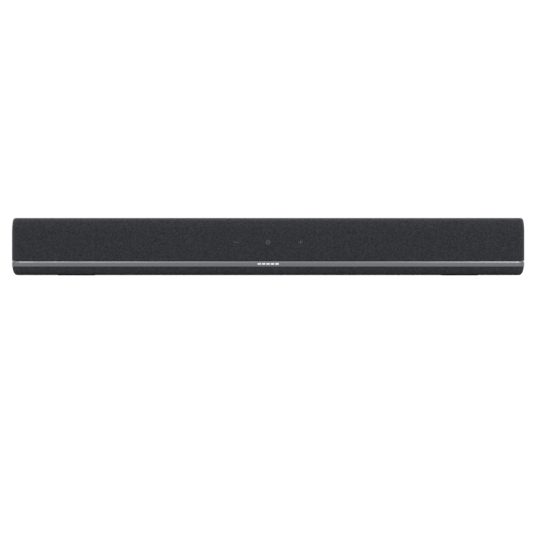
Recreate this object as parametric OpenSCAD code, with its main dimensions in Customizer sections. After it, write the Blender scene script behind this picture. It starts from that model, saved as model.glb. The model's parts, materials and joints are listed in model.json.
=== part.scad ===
// Soundbar: cloth-covered cabinet with a metal band, six drivers, keys behind the cloth
// and a connector bay in the back. Front is -Y, +Z is up, the origin is on the table under
// the middle of the bar.

/* [Body] */
// Width over the cloth and the metal band
bar_w = 650; // [640:5:700]
// Depth from the cloth front to the rear panel
bar_d = 100; // [100:1:106]
// Height from the table to the top of the cloth
bar_h = 73; // [73:0.5:75]
// Radius of the front corners, seen from above
corner_r = 10; // [10:0.5:11]
// How far the cloth leans in on its way to the top
lean_in = 2.9; // [2.8:0.1:3.4]
// Height over which the cloth leans in
lean_h = 17.8; // [16:0.2:19]
// How far the rubber feet lift the base
foot_lift = 0.5; // [0.4:0.1:0.8]

/* [Skirt and band] */
// Height of the metal band's lower edge
band_z = 11.5; // [11.3:0.1:11.7]
// Height of the metal band
band_h = 6.5; // [6.3:0.1:6.6]
// Thickness of the metal band
band_t = 1.5; // [1.4:0.1:1.5]
// Height and depth of the bevel along the band's top edge
band_bevel = [1.9, 0.5];
// Dark gap between the band and the cloth above it
band_gap = 0.8; // [0.7:0.1:0.9]
// How far the lower edge of the skirt curves in
skirt_in = 6; // [5.7:0.1:6.1]
// Thickness of the cloth
cloth_t = 0.6; // [0.5:0.05:0.6]

/* [Drivers] */
// Height of the driver axes
driver_z = 43.2; // [43:0.1:43.4]
// Distances of the woofers from the middle
woofer_x = [110, 190];
// Distance of the tweeters from the middle
tweeter_x = 258; // [250:1:262]
// Stroke of a woofer cone each way
woofer_stroke = 2; // [1:0.5:2]

/* [Keys] */
// Distance between the keys
key_pitch = 41; // [40:0.5:41]
// Height of the keys
key_z = 42.3; // [42:0.1:42.6]
// Radius of a key's head
key_r = 6; // [5.5:0.1:6]
// Stroke of a key
key_stroke = 0.8; // [0.5:0.1:0.8]

/* [Back] */
// Width of the connector bay
bay_w = 156; // [154:1:156]
// Depth of the connector bay
bay_d = 22; // [21:0.5:22]
// Distance between the two wall-mount inserts
mount_pitch = 400; // [396:1:410]
// Radius of the wall-mount thread
mount_r = 2.1; // [2.1:0.05:2.2]
// Distance of the bass ports from the middle
port_x = 150; // [149:0.5:151]
// Inner radius of a bass port
port_r = 12; // [11:0.5:12]

/* [Hidden] */
$fn = 64;

half_w = bar_w / 2;
front_y = -bar_d / 2;
rear_y = bar_d / 2;
far = 400;              // longer than anything it cuts
gap = 0.2;              // assembly gap between pieces that are screwed together
slip = 0.05;            // gap round glued and pressed-in pieces

cloth_z = band_z + band_h + band_gap;
arc_steps = 10;
flange_d = 6;           // depth of the rear housing's rim behind the cloth
flange_y = rear_y - flange_d;
wrap_y = flange_y - gap;
flange_inset = 0.4;     // the rim sits this much under the cloth

grille_t = 2;
grille_y = front_y + cloth_t + grille_t;    // back of the grille's front wall
floor_t = 3;
floor_z = foot_lift + floor_t;

cabinet_x = half_w - 5.6;
cabinet_top = bar_h - 3.8;
cabinet_wall = 2.4;
cabinet_y = front_y + 7;                    // front of the cabinet and of the baffle
cabinet_z = floor_z + gap;
inner_x = cabinet_x - cabinet_wall;
inner_top = cabinet_top - cabinet_wall;
back_wall_y = rear_y - 2.5;

baffle_t = 2.5;
baffle_back = cabinet_y + baffle_t;
flange_t = 1.6;
gasket_t = 0.6;
driver_face = cabinet_y - gasket_t;         // plane on which the driver flanges sit
woofer_places = [-woofer_x[1], -woofer_x[0], woofer_x[0], woofer_x[1]];
tweeter_places = [-tweeter_x, tweeter_x];
cone_gap = 0.4;                             // gap round a moving cone or dome

key_places = [-key_pitch, 0, key_pitch];
status_x = key_pitch / 2;
light_hole_r = 1.5;
receiver_hole_r = 3;
guide_size = [120, 24];
guide_post_x = 56;      // posts that carry the key guide and the key board
guide_pin_r = 1.1;
key_window = [104, 18.6];
key_board_y = cabinet_y + 7.6;              // front face of the key board
switch_h = 4.6;                             // height of a switch over the key board
board_t = 1.6;

bay_z = [15, 45];
bay_y = rear_y - bay_d;
bay_wall = 2;
panel_t = 1;
socket_face = bay_y + panel_t + 0.6;
socket_z = (bay_z[0] + bay_z[1]) / 2;
port_z = 36;            // height of the bass port axes
port_t = 1.6;
port_flange = 6;        // how far a port's flange stands out from its inner wall
port_flange_t = 1.35;
insert_r = 4;
main_board_y = bay_y - 10.4;                // rear face of the main board

// Sockets in the bay, from left to right as seen from the front: place and outer size
inlet_x = -58;
inlet_size = [20, 13];
hdmi_x = -26;
hdmi_size = [15.2, 6.2];
optical_x = 0;
optical_size = [10, 10];
usb_x = 25;
usb_size = [13.4, 6];
aux_x = 50;
aux_size = [11, 10];
aux_collar_r = 5;

power_board_z = 8;
divider_x = 88;
board_posts = [for (x = [-81, 81], z = [9.5, 56]) [x, z]];
power_posts = [for (x = [-72, 72], y = [-28, 4]) [x, y]];

screw_r = 1.45;
screw_head_r = 2.75;
screw_head_t = 1.5;
screw_recess = 1.7;     // depth of the recess for a screw's head in the rear panel
driver_ear = 18.1;      // driver screws sit this far beside and above the axis
tweeter_ear = 13.5;     // tweeter screws sit this far above and below the axis
post_h = 12;            // height of the posts for the base screws
base_screw_x = [-half_w + 25, -100, 100, half_w - 25];
base_front_y = baffle_back + 3;
base_rear_y = back_wall_y - 9.5;
baffle_screw_x = [-308, -225, -150, -72, 72, 150, 225, 308];
panel_screw_x = [-300, -115, 115, 300];
post_z = 62;            // height of the posts that hang from the roof
post_l = 14;            // length of those posts
foot_size = [44, 14];
foot_places = [for (x = [-half_w + 80, half_w - 80], y = [-28, 28]) [x, y]];

cloth_colour = [0.13, 0.13, 0.145];
metal_colour = [0.45, 0.46, 0.48];
plastic_colour = [0.09, 0.09, 0.10];
board_colour = [0.05, 0.22, 0.12];

// ---- Outlines -------------------------------------------------------------------------
// In every section below x = 0 is the bar's outermost line, minus is inwards, y is height.

// Quarter ellipse from straight up to level, a wide and b tall
function leaning(a, b, x, z, way) =
    [for (i = [0:arc_steps]) let (t = 90 * i / arc_steps)
        [x - a * (1 - cos(t)), z + way * b * sin(t)]];

// Cloth-covered wall and roof, moved in by inset
module upper_section(inset) {
    deep = 3 * corner_r;
    intersection() {
        offset(delta = -inset)
            polygon(concat([[-deep, -deep], [0, -deep]],
                leaning(lean_in, lean_h, 0, bar_h - lean_h, 1), [[-deep, bar_h]]));
        translate([-corner_r, cloth_z])
            square([corner_r, bar_h]);
    }
}

// Skirt below the band, moved in by inset
module lower_section(inset) {
    deep = 3 * corner_r;
    set_back = 0.6;
    intersection() {
        offset(delta = -inset)
            polygon(concat([[-deep, far], [-set_back, far]],
                leaning(skirt_in, band_z - foot_lift, -set_back, band_z, -1), [[-deep, foot_lift]]));
        translate([-corner_r, 0])
            square([corner_r, band_z]);
    }
}

// Sweeps a section along the front, round both corners and back along both ends
module wrap(back) {
    translate([0, front_y, 0])
        rotate([90, 0, -90])
            linear_extrude(height = bar_w - 2 * corner_r, center = true)
                children();
    for (side = [0, 1]) mirror([side, 0, 0]) {
        translate([half_w - corner_r, front_y + corner_r, 0])
            rotate([0, 0, -90])
                rotate_extrude(angle = 90)
                    translate([corner_r, 0])
                        children();
        translate([half_w, back, 0])
            rotate([90, 0, 0])
                linear_extrude(height = back - front_y - corner_r)
                    children();
    }
}

// Outline seen from the front, moved in by inset
module front_outline(inset) {
    right = concat(
        leaning(skirt_in, band_z - foot_lift, half_w - 0.6, band_z, -1),
        leaning(lean_in, lean_h, half_w, bar_h - lean_h, 1));
    lower = [for (i = [arc_steps:-1:0]) right[i]];
    upper = [for (i = [arc_steps + 1:2 * arc_steps + 1]) right[i]];
    half = concat(lower, [[half_w, band_z]], upper);
    offset(delta = -inset)
        polygon(concat(half, [for (i = [len(half) - 1:-1:0]) [-half[i][0], half[i][1]]]));
}

// Places a part that is drawn along +Z so that it points along +Y
module facing_back(x, y, z) {
    translate([x, y, z])
        rotate([-90, 0, 0])
            children();
}

// Ring or disc along +Y from y0 to y1
module ring(x, z, y0, y1, outer, inner) {
    facing_back(x, y0, z)
        difference() {
            cylinder(r = outer, h = y1 - y0);
            translate([0, 0, -1])
                cylinder(r = inner, h = y1 - y0 + 2);
        }
}

module rod(x, z, y0, y1, r) {
    facing_back(x, y0, z)
        cylinder(r = r, h = y1 - y0);
}

// Block between two corners
module block(low, high) {
    translate(low)
        cube(high - low);
}

// ---- Outer pieces -----------------------------------------------------------------------

module fabric_cover() {
    color(cloth_colour) {
        wrap(wrap_y)
            difference() {
                upper_section(0);
                upper_section(cloth_t);
            }
        block([-half_w + corner_r, front_y + corner_r, bar_h - cloth_t],
            [half_w - corner_r, wrap_y, bar_h]);
    }
}

module lower_fabric() {
    hem = 0.5;
    color(cloth_colour)
        wrap(wrap_y)
            intersection() {
                difference() {
                    lower_section(0);
                    lower_section(cloth_t);
                }
                translate([hem - corner_r, 0])
                    square([corner_r, band_z - slip]);
            }
}

// Slots in front of one driver, inside a circle of radius r
module driver_slots(x, r) {
    pitch = 5;
    slot = 3.4;
    rows = floor(r / pitch);
    for (k = [-rows:rows]) {
        reach = sqrt(r * r - pow(k * pitch, 2)) - 1;
        if (reach > slot)
            translate([x - reach, grille_y - grille_t - 1, driver_z + k * pitch - slot / 2])
                cube([2 * reach, grille_t + 2, slot]);
    }
}

module grille_frame() {
    rib_t = 2;
    sheet = cloth_t + slip;
    color(plastic_colour)
        difference() {
            union() {
                wrap(wrap_y)
                    difference() {
                        upper_section(sheet);
                        upper_section(cloth_t + grille_t);
                    }
                block([-half_w + corner_r, front_y + corner_r, bar_h - cloth_t - grille_t],
                    [half_w - corner_r, wrap_y, bar_h - sheet]);
                // ribs that rest on the cabinet roof
                for (x = [-270, -150, 0, 150, 270])
                    block([x, cabinet_y + 3, cabinet_top + slip],
                        [x + rib_t, wrap_y - 3, bar_h - cloth_t - grille_t + 0.5]);
            }
            for (x = woofer_places) driver_slots(x, 19);
            for (x = tweeter_places) driver_slots(x, 11);
            for (x = key_places) rod(x, key_z, front_y - 1, grille_y + 1, key_r + 0.3);
            rod(status_x, key_z, front_y - 1, grille_y + 1, light_hole_r);
            rod(-status_x, key_z, front_y - 1, grille_y + 1, receiver_hole_r);
        }
}

module trim_band() {
    color(metal_colour)
        difference() {
            wrap(wrap_y)
                polygon([[-band_t, band_z], [0, band_z], [0, band_z + band_h - band_bevel[0]],
                    [-band_bevel[1], band_z + band_h], [-band_t, band_z + band_h]]);
            badge(slip, 1);
        }
}

// Row of plain marks let into the band, grown by extra all round
module badge(extra, proud) {
    marks = 5;
    pitch = 5.6;
    size = [4.4, 2];
    inlay = 0.5;
    z = band_z + band_h / 2;
    for (k = [0:marks - 1])
        translate([(k - (marks - 1) / 2) * pitch, front_y + (inlay + extra - proud) / 2, z])
            cube([size[0] + 2 * extra, inlay + extra + proud, size[1] + 2 * extra], center = true);
}

module badge_marks() {
    color([0.85, 0.86, 0.87])
        badge(0, 0);
}

module rounded_bar(size, h) {
    r = size[1] / 2;
    translate([-(size[0] / 2 - r), -r, 0])
        cube([size[0] - size[1], size[1], h]);
    for (side = [-1, 1])
        translate([side * (size[0] / 2 - r), 0, 0])
            cylinder(r = r, h = h);
}

module base_tray() {
    bed = 4.6;
    inset = cloth_t + slip;
    color(plastic_colour)
        difference() {
            union() {
                wrap(wrap_y)
                    difference() {
                        union() {
                            lower_section(inset);
                            translate([-bed, band_z - 1])
                                square([bed - band_t - slip, cloth_z - gap - band_z + 1]);
                        }
                        translate([-far, floor_z])
                            square([far - bed, bar_h]);
                        translate([-band_t - slip, band_z - 2 * slip])
                            square([corner_r, bar_h]);
                    }
                block([-half_w + corner_r, front_y + corner_r, foot_lift],
                    [half_w - corner_r, wrap_y, floor_z]);
                for (p = power_posts)
                    translate([p[0], p[1], floor_z - 1])
                        cylinder(r = 3, h = power_board_z - floor_z + 1 - slip);
            }
            for (p = foot_places)
                translate([p[0], p[1], 0])
                    rounded_bar(foot_size + [2 * slip, 2 * slip], foot_lift + 1.6);
            for (x = base_screw_x, y = [base_front_y, base_rear_y])
                translate([x, y, 0]) {
                    cylinder(r = screw_head_r + 0.3, h = foot_lift + 1.8);
                    cylinder(r = screw_r + 0.3, h = bar_h / 2);
                }
            // cooling slots under the electronics
            for (k = [-6:6])
                block([k * 9 - 1, -20, 0], [k * 9 + 1, 6, floor_z + 1]);
        }
}

// Roof and ends of the cabinet, with posts for the screws of the baffle and of the rear panel
module cabinet_shell() {
    back = back_wall_y - gap;
    color(plastic_colour)
        difference() {
            union() {
                difference() {
                    block([-cabinet_x, cabinet_y, cabinet_z], [cabinet_x, back, cabinet_top]);
                    block([-inner_x, cabinet_y - 1, 0], [inner_x, rear_y, inner_top]);
                }
                for (x = baffle_screw_x) hung_post(x, baffle_back + slip, baffle_back + post_l);
                for (x = panel_screw_x) hung_post(x, back - post_l, back);
            }
            for (x = baffle_screw_x)
                rod(x, post_z, baffle_back - 1, baffle_back + post_l - 3, screw_r + slip);
            for (x = panel_screw_x)
                rod(x, post_z, back - post_l + 3, back + 1, screw_r + slip);
        }
}

// Screw post along +Y from y0 to y1, tied to the cabinet's roof by a rib
module hung_post(x, y0, y1) {
    rod(x, post_z, y0, y1, 3.2);
    block([x - 1, y0, post_z], [x + 1, y1, inner_top + 1]);
}

// Back of the cabinet, with the rim that the cloth ends against
module rear_panel() {
    rim_t = 2;
    boss_d = 14;
    insert_d = 11;
    vent_z = [50, 60];
    vent_w = 2.4;
    color(plastic_colour)
        difference() {
            union() {
                difference() {
                    outline_slab(flange_inset, flange_y, rear_y);
                    outline_slab(flange_inset + rim_t, flange_y - 1, back_wall_y);
                }
                // posts for the base screws, tied to the wall
                for (x = base_screw_x) {
                    translate([x, base_rear_y, cabinet_z])
                        cylinder(r = 3.5, h = post_h);
                    block([x - 1, base_rear_y, cabinet_z],
                        [x + 1, back_wall_y + 1, cabinet_z + post_h]);
                }
                for (p = board_posts)
                    rod(p[0], p[1], main_board_y + slip, back_wall_y + 1, 3);
                for (side = [-1, 1])
                    rod(side * mount_pitch / 2, driver_z, rear_y - boss_d, back_wall_y + 1, 6.5);
            }
            block([-bay_w / 2, flange_y, bay_z[0]], [bay_w / 2, rear_y + 1, bay_z[1]]);
            for (side = [-1, 1]) {
                rod(side * port_x, port_z, back_wall_y - 1, rear_y + 1, port_r + port_t + gap);
                rod(side * port_x, port_z, rear_y - port_flange_t - slip, rear_y + 1,
                    port_r + port_flange + gap);
                rod(side * mount_pitch / 2, driver_z, rear_y - insert_d, rear_y + 1,
                    insert_r + slip);
            }
            for (x = base_screw_x)
                translate([x, base_rear_y, 0])
                    cylinder(r = screw_r + slip, h = cabinet_z + post_h - 2);
            for (x = panel_screw_x) {
                rod(x, post_z, back_wall_y - 1, rear_y + 1, screw_r + gap);
                rod(x, post_z, rear_y - screw_recess, rear_y + 1, screw_head_r);
            }
            for (p = board_posts)
                rod(p[0], p[1], main_board_y - 1, main_board_y + 9, 1.2);
            // cooling slots above the bay
            for (k = [-9:9])
                translate([k * 7 - vent_w / 2, back_wall_y - 1, vent_z[0]])
                    cube([vent_w, rear_y - back_wall_y + 2, vent_z[1] - vent_z[0]]);
        }
}

// Open box behind the rear panel, with the sockets in its floor
module connector_bay() {
    wall = [bay_wall, 0, bay_wall];
    ledge = [3, 0, 3];      // ledge all round that the connector panel lies on
    color(plastic_colour)
        difference() {
            block([-bay_w / 2, bay_y - bay_wall, bay_z[0]] - wall,
                [bay_w / 2, back_wall_y - slip, bay_z[1]] + wall);
            block([-bay_w / 2, bay_y, bay_z[0]], [bay_w / 2, rear_y, bay_z[1]]);
            block([-bay_w / 2, bay_y - bay_wall - 1, bay_z[0]] + ledge,
                [bay_w / 2, bay_y + 1, bay_z[1]] - ledge);
        }
}

// Slab with the front outline, from y0 to y1
module outline_slab(inset, y0, y1) {
    translate([0, y1, 0])
        rotate([90, 0, 0])
            linear_extrude(height = y1 - y0)
                front_outline(inset);
}

module rubber_feet() {
    color([0.05, 0.05, 0.05])
        for (p = foot_places)
            translate([p[0], p[1], 0])
                rounded_bar(foot_size, foot_lift + 1.55);
}

module mount_inserts() {
    color([0.72, 0.58, 0.3])
        for (side = [-1, 1])
            ring(side * mount_pitch / 2, driver_z, rear_y - 10.5, rear_y, insert_r, mount_r);
}

module bass_port(side) {
    flare = 4;
    length = 60;
    color(plastic_colour)
        facing_back(side * port_x, rear_y - length, port_z)
            rotate_extrude()
                polygon(concat(
                    [[port_r, 0], [port_r + port_t, 0], [port_r + port_t, length - port_flange_t]],
                    [[port_r + port_flange, length - port_flange_t], [port_r + port_flange, length]],
                    [for (i = [arc_steps:-1:0]) let (t = 90 * i / arc_steps)
                        [port_r + flare * (1 - cos(t)), length - flare + flare * sin(t)]]));
}

module bass_port_left() { bass_port(-1); }
module bass_port_right() { bass_port(1); }

// ---- Connectors -------------------------------------------------------------------------

// Block round the socket axis height, from y0 to y1
module socket_block(x, size, y0, y1) {
    block([x - size[0] / 2, y0, socket_z - size[1] / 2],
        [x + size[0] / 2, y1, socket_z + size[1] / 2]);
}

// Openings for the sockets, with room all round
module socket_cuts(room, y0, y1) {
    grow = [2 * room, 2 * room];
    socket_block(inlet_x, inlet_size + grow, y0, y1);
    socket_block(hdmi_x, hdmi_size + grow, y0, y1);
    socket_block(optical_x, optical_size + grow, y0, y1);
    socket_block(usb_x, usb_size + grow, y0, y1);
    rod(aux_x, socket_z, y0, y1, aux_collar_r + room);
}

module connector_panel() {
    edge = 0.3;
    color([0.16, 0.16, 0.17])
        difference() {
            block([-bay_w / 2 + edge, bay_y + slip, bay_z[0] + edge],
                [bay_w / 2 - edge, bay_y + panel_t, bay_z[1] - edge]);
            socket_cuts(0.2, bay_y - 1, socket_face);
        }
}

socket_back = main_board_y + slip;
pin_pitch = 8.6;        // distance between the two mains pins
pin_r = 1.2;

module ac_inlet() {
    lobe_r = 3.9;
    lobe_x = 3.6;
    floor_d = 2;
    color([0.07, 0.07, 0.07])
        difference() {
            socket_block(inlet_x, inlet_size, socket_back, socket_face);
            for (side = [-1, 1]) {
                rod(inlet_x + side * lobe_x, socket_z, socket_back + floor_d, socket_face + 1, lobe_r);
                rod(inlet_x + side * pin_pitch / 2, socket_z, socket_back - 1, socket_face,
                    pin_r + slip);
            }
            socket_block(inlet_x, 2 * [lobe_x, lobe_r], socket_back + floor_d, socket_face + 1);
        }
}

module ac_inlet_pins() {
    color([0.8, 0.8, 0.8])
        for (side = [-1, 1])
            rod(inlet_x + side * pin_pitch / 2, socket_z, socket_back + 0.5, socket_face - 1.5, pin_r);
}

module hdmi_socket() {
    wall = [1.2, 1.2];
    cut = 1.6;
    depth = socket_face - socket_back;
    tongue = [[-5.6, -0.3], [5.6, 0.9]];
    color(metal_colour) {
        translate([hdmi_x, socket_face, socket_z])
            rotate([90, 0, 0])
                difference() {
                    linear_extrude(height = depth)
                        cut_corners(hdmi_size, cut);
                    translate([0, 0, -1])
                        linear_extrude(height = depth)
                            cut_corners(hdmi_size - wall, cut);
                }
        block([hdmi_x + tongue[0][0], socket_back + 0.5, socket_z + tongue[0][1]],
            [hdmi_x + tongue[1][0], socket_face - 1, socket_z + tongue[1][1]]);
    }
}

// Rectangle with its two lower corners cut off
module cut_corners(size, cut) {
    x = size[0] / 2;
    y = size[1] / 2;
    polygon([[-x, y], [x, y], [x, cut - y], [x - cut, -y], [cut - x, -y], [-x, cut - y]]);
}

module optical_socket() {
    recess = [6, 6];
    color([0.06, 0.06, 0.06])
        difference() {
            socket_block(optical_x, optical_size, socket_back, socket_face);
            socket_block(optical_x, recess, socket_back + 2, socket_face + 1);
        }
}

module usb_socket() {
    wall = [0.8, 0.8];
    tongue = [[-5.6, 0.2], [5.6, 2]];
    color(metal_colour) {
        difference() {
            socket_block(usb_x, usb_size, socket_back, socket_face);
            socket_block(usb_x, usb_size - wall, socket_back + 1, socket_face + 1);
        }
        block([usb_x + tongue[0][0], socket_back + 0.5, socket_z + tongue[0][1]],
            [usb_x + tongue[1][0], socket_face - 1, socket_z + tongue[1][1]]);
    }
}

module aux_socket() {
    jack_r = 1.8;
    jack_d = 11;
    color([0.06, 0.06, 0.06])
        difference() {
            union() {
                socket_block(aux_x, aux_size, socket_back, bay_y - bay_wall - slip);
                rod(aux_x, socket_z, socket_back, socket_face, aux_collar_r);
            }
            rod(aux_x, socket_z, socket_face - jack_d, socket_face + 1, jack_r);
        }
}

// ---- Electronics ------------------------------------------------------------------------

module main_board() {
    half = 86;
    z = [6.5, 60];
    color(board_colour)
        difference() {
            block([-half, main_board_y - board_t, z[0]], [half, main_board_y, z[1]]);
            for (p = board_posts)
                rod(p[0], p[1], main_board_y - 3, main_board_y + 1, screw_r + slip);
        }
}

board_front = main_board_y - board_t - slip;

module board_chips() {
    tall = 1.4;
    sizes = [14, 10, 8, 10];
    first_x = 8;
    pitch = 18;
    color([0.04, 0.04, 0.04])
        for (k = [0:len(sizes) - 1])
            translate([first_x + k * pitch, board_front - tall, 20])
                cube([sizes[k], tall, sizes[k]]);
}

module board_capacitors() {
    color([0.12, 0.12, 0.14])
        for (x = [10, 21, 32, 43], z = [40, 52])
            rod(x, z, board_front - 11, board_front, 4);
}

module heat_sink() {
    fins = 9;
    fin_t = 1.2;
    size = [52, 30];
    x = -66;
    z = 15;
    base = 3;
    fin_d = 20;
    color([0.75, 0.76, 0.78]) {
        block([x, board_front - base, z], [x + size[0], board_front, z + size[1]]);
        for (k = [0:fins - 1])
            translate([x + k * (size[0] - fin_t) / (fins - 1), board_front - base - fin_d, z])
                cube([fin_t, fin_d + 1, size[1]]);
    }
}

// Small board under a shield can, and its antenna strip under the roof
module wireless_module() {
    board = [18, 0.8, 20];
    can = [14, 2.6, 13];
    strip = [30, 8, 0.55];
    x = 67;
    strip_y = board_front - 30;
    color([0.7, 0.71, 0.72]) {
        translate([x - board[0] / 2, board_front - board[1], 38])
            cube(board);
        translate([x - can[0] / 2, board_front - 0.4 - can[1], 41])
            cube(can);
        translate([x - strip[0] / 2, strip_y, inner_top - slip - strip[2]])
            cube(strip);
    }
}

module power_board() {
    half = 84;
    y = [-33, 10];
    color([0.35, 0.24, 0.1])
        difference() {
            block([-half, y[0], power_board_z], [half, y[1], power_board_z + board_t]);
            for (p = power_posts)
                translate([p[0], p[1], power_board_z - 1])
                    cylinder(r = screw_r + slip, h = board_t + 2);
        }
}

power_top = power_board_z + board_t + slip;

// Winding between the two halves of its core
module power_transformer() {
    core = [30, 20, 5];
    winding = [22, 16, 17];
    place = [7, -20, power_top];
    color([0.75, 0.62, 0.15])
        translate(place) {
            for (z = [0, 20])
                translate([-core[0] / 2, -core[1] / 2, z])
                    cube(core);
            translate([-winding[0] / 2, -winding[1] / 2, core[2] - 1])
                cube(winding);
        }
}

module power_capacitors() {
    can_r = 8;
    can_h = 30;
    color([0.1, 0.12, 0.3])
        for (x = [44, 63])
            translate([x, -20, power_top])
                cylinder(r = can_r, h = can_h);
}

module chamber_dividers() {
    thick = 2.5;
    color(plastic_colour)
        for (side = [-1, 1])
            difference() {
                block([side * divider_x - thick / 2, baffle_back + gap, cabinet_z],
                    [side * divider_x + thick / 2, back_wall_y - gap, inner_top - gap]);
                // notch for the driver cable
                block([side * divider_x - thick, 24, 0], [side * divider_x + thick, 34, 12]);
            }
}

// ---- Front ------------------------------------------------------------------------------

module front_baffle() {
    woofer_hole_r = 20.2;
    tweeter_hole_r = 10.7;
    pilot_r = 1;
    color([0.14, 0.14, 0.15])
        difference() {
            union() {
                block([-inner_x + gap, cabinet_y, cabinet_z],
                    [inner_x - gap, baffle_back, inner_top - gap]);
                for (x = base_screw_x)
                    translate([x, base_front_y, cabinet_z])
                        cylinder(r = 3.5, h = post_h);
                for (side = [-1, 1])
                    rod(side * guide_post_x, key_z, baffle_back - 1, key_board_y - slip, 2.5);
            }
            for (x = woofer_places) {
                rod(x, driver_z, cabinet_y - 1, baffle_back + 1, woofer_hole_r);
                for (i = [-1, 1], k = [-1, 1])
                    rod(x + i * driver_ear, driver_z + k * driver_ear, cabinet_y - 1,
                        baffle_back + 1, pilot_r);
            }
            for (x = tweeter_places) {
                rod(x, driver_z, cabinet_y - 1, baffle_back + 1, tweeter_hole_r);
                for (k = [-1, 1])
                    rod(x, driver_z + k * tweeter_ear, cabinet_y - 1, baffle_back + 1, pilot_r);
            }
            block([-key_window[0] / 2, cabinet_y - 1, key_z - key_window[1] / 2],
                [key_window[0] / 2, baffle_back + 1, key_z + key_window[1] / 2]);
            for (x = baffle_screw_x)
                rod(x, post_z, cabinet_y - 1, baffle_back + 1, screw_r + 0.2);
            for (x = base_screw_x)
                translate([x, base_front_y, 0])
                    cylinder(r = screw_r + slip, h = cabinet_z + post_h - 2);
            for (side = [-1, 1])
                rod(side * guide_post_x, key_z, cabinet_y - 1, key_board_y + 1, guide_pin_r);
        }
}

module key_guide() {
    thick = 1.4;
    face = cabinet_y - slip;
    color([0.12, 0.12, 0.13])
        difference() {
            block([-guide_size[0] / 2, face - thick, key_z - guide_size[1] / 2],
                [guide_size[0] / 2, face, key_z + guide_size[1] / 2]);
            for (x = key_places)
                rod(x, key_z, face - thick - 1, face + 1, 2.7);
            rod(status_x, key_z, face - thick - 1, face + 1, light_hole_r);
            rod(-status_x, key_z, face - thick - 1, face + 1, receiver_hole_r);
            for (side = [-1, 1])
                rod(side * guide_post_x, key_z, face - thick - 1, face + 1, guide_pin_r);
        }
}

// Key: a head just behind the cloth, a collar behind the grille and a stem to its switch
module key(x) {
    head_y = front_y + cloth_t + 0.3;
    collar = [grille_y + 0.3, grille_y + 1.1];
    collar_r = key_r + 1.2;
    stem_r = 2.4;
    stem_end = key_board_y - switch_h - key_stroke - 0.1;
    color([0.1, 0.1, 0.11])
        facing_back(x, 0, key_z)
            rotate_extrude()
                polygon([[0, head_y], [key_r, head_y], [key_r, collar[0]], [collar_r, collar[0]],
                    [collar_r, collar[1]], [stem_r, collar[1]], [stem_r, stem_end], [0, stem_end]]);
}

module key_minus() { key(key_places[0]); }
module key_source() { key(key_places[1]); }
module key_plus() { key(key_places[2]); }

module key_board() {
    color(board_colour)
        difference() {
            block([-guide_size[0] / 2, key_board_y, key_z - 9],
                [guide_size[0] / 2, key_board_y + 1.2, key_z + 9]);
            for (side = [-1, 1])
                rod(side * guide_post_x, key_z, key_board_y - 1, key_board_y + 2, screw_r);
        }
}

module key_switches() {
    body = 3;
    color([0.75, 0.75, 0.76])
        for (x = key_places) {
            block([x - 3, key_board_y - body, key_z - 3], [x + 3, key_board_y - slip, key_z + 3]);
            rod(x, key_z, key_board_y - switch_h, key_board_y - body + 0.5, 1.7);
        }
}

module status_light() {
    color([0.85, 0.85, 0.85])
        rod(status_x, key_z, grille_y - 0.5, key_board_y - slip, 1.2);
}

module ir_receiver() {
    dome_y = key_board_y - switch_h;
    dome_r = 2.4;
    color([0.12, 0.02, 0.03]) {
        block([-status_x - 2.8, dome_y, key_z - 3.4],
            [-status_x + 2.8, key_board_y - slip, key_z + 3.4]);
        intersection() {
            translate([-status_x, dome_y, key_z])
                sphere(r = dome_r);
            block([-status_x - 3, dome_y - 3, key_z - 3], [-status_x + 3, dome_y + 1, key_z + 3]);
        }
    }
}

// ---- Drivers ----------------------------------------------------------------------------

cone_edge_r = 15.6;
surround_w = 3.6;
former_r = 7.3;

// Square flange with cut corners, and a basket behind it
module woofer_frame(x) {
    side = 46;
    face = driver_face - flange_t;
    mouth_r = 18.6;
    rim_y = cabinet_y + 4;
    back_y = cabinet_y + 16;
    neck_r = 8.4;
    color([0.08, 0.08, 0.09])
        difference() {
            union() {
                intersection() {
                    block([x - side / 2, face, driver_z - side / 2],
                        [x + side / 2, driver_face, driver_z + side / 2]);
                    rod(x, driver_z, face, driver_face, 29);
                }
                facing_back(x, 0, driver_z)
                    rotate_extrude()
                        polygon([[mouth_r, driver_face - 0.5], [20, driver_face - 0.5], [20, rim_y],
                            [14, back_y], [neck_r, back_y], [neck_r, back_y - 1.2],
                            [13.3, back_y - 1.2], [mouth_r, rim_y]]);
            }
            rod(x, driver_z, face - 1, face + 1, 19.6);
            rod(x, driver_z, face - 1, driver_face, mouth_r);
            for (i = [-1, 1], k = [-1, 1])
                rod(x + i * driver_ear, driver_z + k * driver_ear, face - 1, driver_face + 1, screw_r);
            // windows in the basket
            for (turn = [0, 90])
                facing_back(x, cabinet_y + 5.5, driver_z)
                    rotate([0, 0, turn + 45])
                        translate([-side / 2, -6, 0])
                            cube([side, 12, 8]);
        }
}

// Half-round rubber roll between the frame and the cone
module woofer_surrounds() {
    roll_r = surround_w / 2 - 0.1;
    inner = cone_edge_r + cone_gap;
    middle = inner + roll_r;
    face = driver_face - flange_t + 1 - slip;
    outer = 19.5;
    color([0.05, 0.05, 0.05])
        for (x = woofer_places)
            facing_back(x, 0, driver_z)
                rotate_extrude()
                    polygon(concat(
                        [[outer, face], [outer, face - 0.6], [middle + roll_r, face - 0.6]],
                        [for (i = [1:arc_steps - 1]) let (t = 180 * i / arc_steps)
                            [middle + roll_r * cos(t), face - 0.6 - 0.7 * roll_r * sin(t)]],
                        [[inner, face - 0.6], [inner, face]]));
}

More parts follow.
